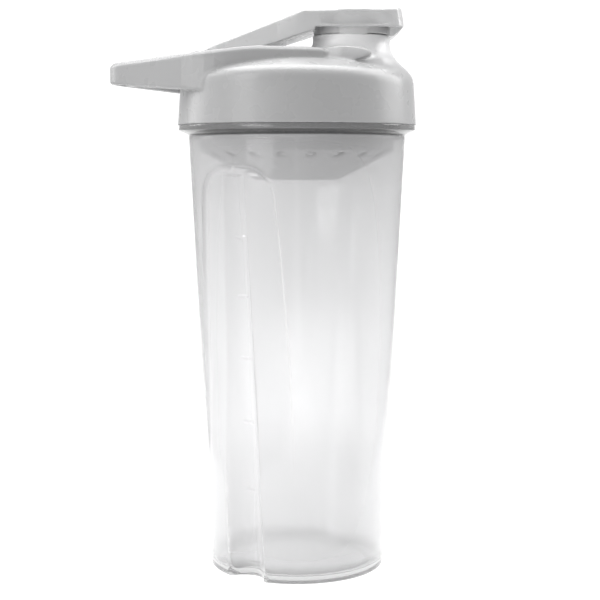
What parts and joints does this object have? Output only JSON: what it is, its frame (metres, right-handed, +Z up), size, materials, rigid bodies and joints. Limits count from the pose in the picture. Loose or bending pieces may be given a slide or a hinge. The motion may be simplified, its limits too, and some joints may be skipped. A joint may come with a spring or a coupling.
{
  "type": "protein shaker bottle",
  "caption": "Clear tapered shaker cup with grip flutes, a screw lid with spout and carry loop, a hinged flip cap and a strainer in the neck.",
  "frame": {"origin": "centre of the cup's underside, on the axis of the cup and the lid", "axes": "+Z up along the cup's axis, +X from the axis to the spout, -X to the carry loop"},
  "size_m": [0.1287, 0.1004, 0.236],
  "materials": {
    "clear_plastic": "clear glossy moulded plastic, faintly frosted towards the base",
    "lid_plastic": "satin light grey moulded plastic",
    "cap_plastic": "satin light grey moulded plastic",
    "strainer_plastic": "satin light grey moulded plastic",
    "seal_rubber": "matte grey silicone",
    "pin_steel": "plain drawn steel wire"
  },
  "bodies": {
    "cup": {"cup": "clear_plastic"},
    "lid_seal": {"lid_gasket": "seal_rubber"},
    "lid": {"lid": "lid_plastic", "hinge_pin": "pin_steel"},
    "flip_cap": {"flip_cap": "cap_plastic", "spout_seal": "seal_rubber"},
    "strainer": {"mixing_strainer": "strainer_plastic"}
  },
  "joints": [
    {"name": "lid_rise", "type": "slide", "parent": "cup", "child": "lid_seal", "axis": [0, 0, 1], "range_m": [0, 0.0051]},
    {"name": "lid_turn", "type": "hinge", "parent": "lid_seal", "child": "lid", "pos_m": [0, 0, 0.195], "axis": [0, 0, 1], "range_deg": [0, 450]},
    {"name": "cap_hinge", "type": "hinge", "parent": "lid", "child": "flip_cap", "pos_m": [-0.041, 0, 0.2136], "axis": [0, -1, 0], "range_deg": [0, 135]},
    {"name": "strainer_pull", "type": "slide", "parent": "lid", "child": "strainer", "axis": [0, 0, -1], "range_m": [0, 0.007]}
  ],
  "couplings": [
    {"joint": "lid_rise", "follows": "lid_turn", "m_per_rad": 0.00063662}
  ]
}
